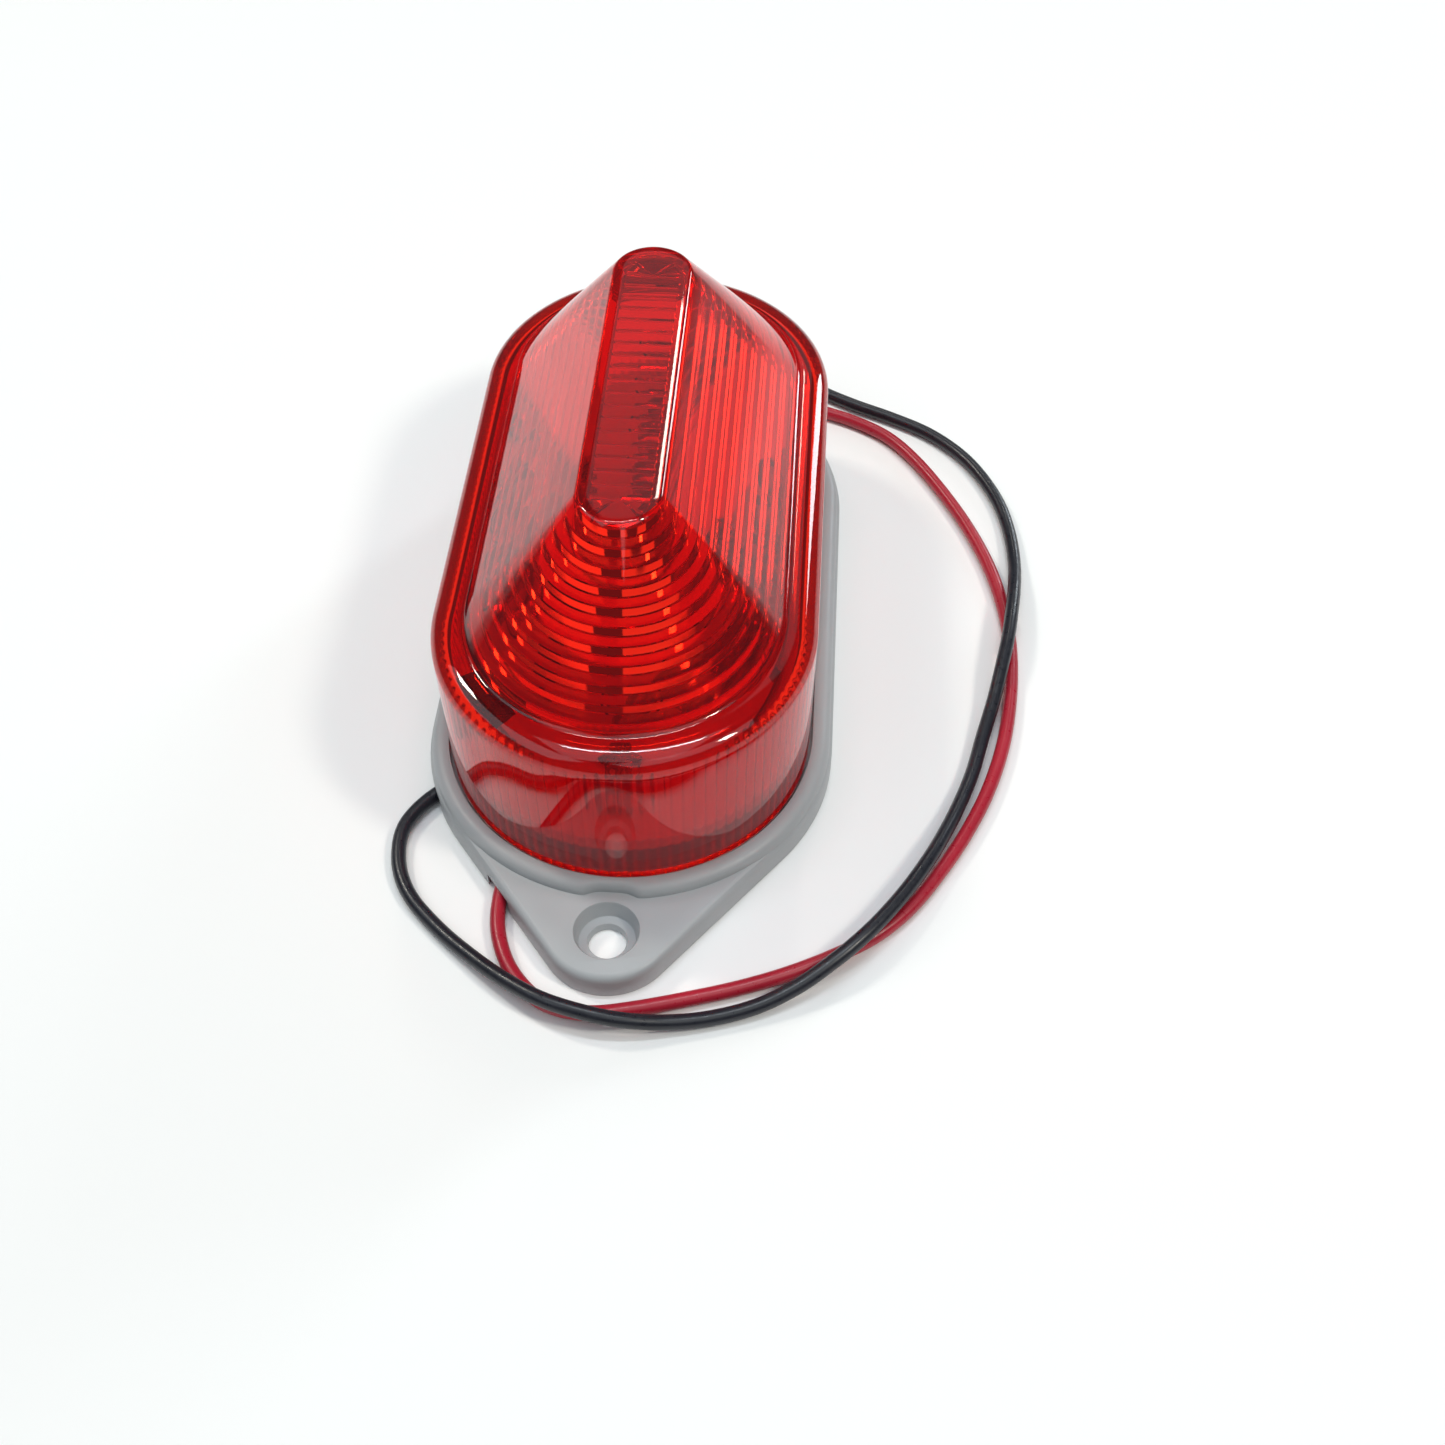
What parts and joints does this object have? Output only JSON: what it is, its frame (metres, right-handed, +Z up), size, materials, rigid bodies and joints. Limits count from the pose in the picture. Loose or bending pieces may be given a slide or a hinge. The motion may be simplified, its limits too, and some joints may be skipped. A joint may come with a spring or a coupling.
{
  "type": "alarm beacon",
  "caption": "Small alarm beacon: eared grey base, push-fit clear red ribbed lens with a ridge, circuit board inside and two loose leads.",
  "frame": {"origin": "on the surface the base stands on, under the middle of the body between the two ears", "axes": "+Z up, away from the mounting surface; +Y along the body from ear to ear; +X across the body"},
  "size_m": [0.0692, 0.1124, 0.0384],
  "materials": {
    "base_plastic": "satin light grey moulded plastic",
    "lens_red": "clear deep red moulded plastic, glossy outside and ribbed inside",
    "gasket_rubber": "matt pale grey silicone",
    "board_white": "white solder mask",
    "screw_steel": "zinc plated steel",
    "led_red": "clear red epoxy",
    "component_black": "black moulded plastic",
    "sounder_grey": "grey moulded plastic",
    "capacitor_can": "bare aluminium can",
    "brass": "brass disc",
    "resistor_tan": "tan lacquer",
    "lead_black": "black flexible wire insulation, slight sheen",
    "lead_red": "red flexible wire insulation, slight sheen",
    "tinned_copper": "tinned copper strands"
  },
  "bodies": {
    "base": {"base_housing": "base_plastic", "lens_gasket": "gasket_rubber", "circuit_board": "board_white", "board_screw_far": "screw_steel", "board_screw_near": "screw_steel", "led_1": "led_red", "led_2": "led_red", "led_3": "led_red", "led_4": "led_red", "led_5": "led_red", "led_6": "led_red", "sounder_case": "sounder_grey", "sounder_disc": "brass", "capacitor": "capacitor_can", "driver_chip": "component_black", "diode": "component_black", "resistor_1": "resistor_tan", "resistor_2": "resistor_tan", "resistor_3": "resistor_tan", "lead_grommet": "gasket_rubber", "inner_lead_black": "lead_black", "inner_lead_red": "lead_red", "wire_black": "lead_black", "wire_red": "lead_red", "tinned_tip_black": "tinned_copper", "tinned_tip_red": "tinned_copper"},
    "cover": {"lens_cover": "lens_red"}
  },
  "joints": [
    {"name": "lens_lift", "type": "slide", "parent": "base", "child": "cover", "axis": [0, 0, 1], "range_m": [0, 0.045]}
  ]
}
